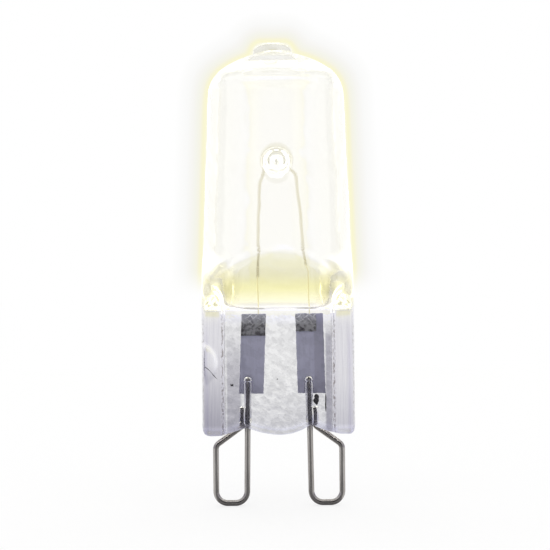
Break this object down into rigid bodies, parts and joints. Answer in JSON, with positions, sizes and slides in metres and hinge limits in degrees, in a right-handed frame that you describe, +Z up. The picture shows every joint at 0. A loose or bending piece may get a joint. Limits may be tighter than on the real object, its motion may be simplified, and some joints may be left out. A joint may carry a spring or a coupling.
{
  "type": "halogen capsule bulb",
  "caption": "Clear quartz capsule lamp: a domed tube round a coiled filament, pinched flat below over sealing foils, on bent wire contact loops.",
  "frame": {"origin": "midway between the two contact loops, level with the lowest points of their wire", "axes": "+Z up the lamp's axis to the sealed tip, X through both contact loops, Y through the thickness of the flat pinch"},
  "size_m": [0.0144, 0.014, 0.0435],
  "materials": {
    "quartz_glass": "clear polished quartz",
    "filament": "glowing coiled tungsten wire",
    "lead_wire": "drawn tungsten wire",
    "weld_tab": "dark scratched foil tab",
    "seal_foil": "dull grey molybdenum foil",
    "contact_wire": "drawn wire, warm grey"
  },
  "bodies": {
    "root": {"envelope": "quartz_glass", "filament": "filament", "lead_wire_left": "lead_wire", "lead_wire_right": "lead_wire", "weld_tab_left": "weld_tab", "weld_tab_right": "weld_tab", "foil_left": "seal_foil", "foil_right": "seal_foil", "contact_loop_left": "contact_wire", "contact_loop_right": "contact_wire"}
  },
  "joints": []
}
